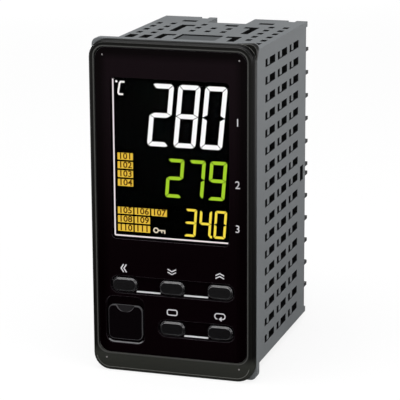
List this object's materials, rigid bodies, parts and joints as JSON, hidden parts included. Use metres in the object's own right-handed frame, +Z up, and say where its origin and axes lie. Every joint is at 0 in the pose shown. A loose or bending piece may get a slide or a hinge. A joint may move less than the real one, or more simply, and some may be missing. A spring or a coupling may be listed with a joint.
{
  "type": "pid temperature controller",
  "caption": "Upright panel-mounted PID temperature controller: black front with a three-line display, press keys and port cover, a slotted grey case and rear screw terminals.",
  "frame": {"origin": "middle of the footprint, level with the flange's lower edge", "axes": "+X to the right of the front, +Y from the front to the terminals, +Z up; the front faces -Y"},
  "size_m": [0.048, 0.0666, 0.096],
  "materials": {
    "bezel": "satin black moulded plastic, fine sparkle-free texture",
    "fascia": "high-gloss black plastic",
    "window": "clear tinted polycarbonate window, polished",
    "lcd": "black negative liquid-crystal display",
    "diffuser": "milky light guide",
    "frame": "black moulded plastic",
    "keys": "dark grey satin plastic key caps",
    "seal": "black silicone rubber",
    "mat": "grey translucent silicone rubber",
    "case": "fine-textured grey moulded plastic",
    "block": "dark grey glass-filled plastic",
    "contact": "tin-plated brass",
    "screw": "nickel-plated steel",
    "board": "green solder-masked glass-epoxy laminate",
    "ferrite": "sintered ferrite",
    "winding": "enamelled wire under yellow tape",
    "relay": "black moulded relay cover",
    "capacitor": "sleeved aluminium can",
    "chip": "black epoxy package",
    "socket": "cream moulded connector"
  },
  "bodies": {
    "housing": {"front_bezel": "bezel", "front_seal": "seal", "fascia": "fascia", "display_window": "window", "display_panel": "lcd", "light_guide": "diffuser", "display_frame": "frame", "display_board": "board", "key_mat": "mat", "port_socket": "socket", "rear_case": "case", "terminal_block": "block", "terminal_plates": "contact", "terminal_screws": "screw", "terminal_board": "board", "power_board": "board", "main_board": "board", "transformer_core": "ferrite", "transformer_coil": "winding", "control_relay": "relay", "alarm_relay": "relay", "input_capacitor": "capacitor", "output_capacitor": "capacitor", "processor": "chip", "power_header": "socket", "main_header": "socket"},
    "shift_key": {"shift_key": "keys"},
    "down_key": {"down_key": "keys"},
    "up_key": {"up_key": "keys"},
    "level_key": {"level_key": "keys"},
    "mode_key": {"mode_key": "keys"},
    "port_cover": {"port_cover": "keys"}
  },
  "joints": [
    {"name": "shift_key_press", "type": "slide", "parent": "housing", "child": "shift_key", "axis": [0, 1, 0], "range_m": [0, 0.0005], "stiffness_N_per_m": 400},
    {"name": "down_key_press", "type": "slide", "parent": "housing", "child": "down_key", "axis": [0, 1, 0], "range_m": [0, 0.0005], "stiffness_N_per_m": 400},
    {"name": "up_key_press", "type": "slide", "parent": "housing", "child": "up_key", "axis": [0, 1, 0], "range_m": [0, 0.0005], "stiffness_N_per_m": 400},
    {"name": "level_key_press", "type": "slide", "parent": "housing", "child": "level_key", "axis": [0, 1, 0], "range_m": [0, 0.0005], "stiffness_N_per_m": 400},
    {"name": "mode_key_press", "type": "slide", "parent": "housing", "child": "mode_key", "axis": [0, 1, 0], "range_m": [0, 0.0005], "stiffness_N_per_m": 400},
    {"name": "port_cover_pull", "type": "slide", "parent": "housing", "child": "port_cover", "axis": [0, -1, 0], "range_m": [0, 0.03]}
  ]
}
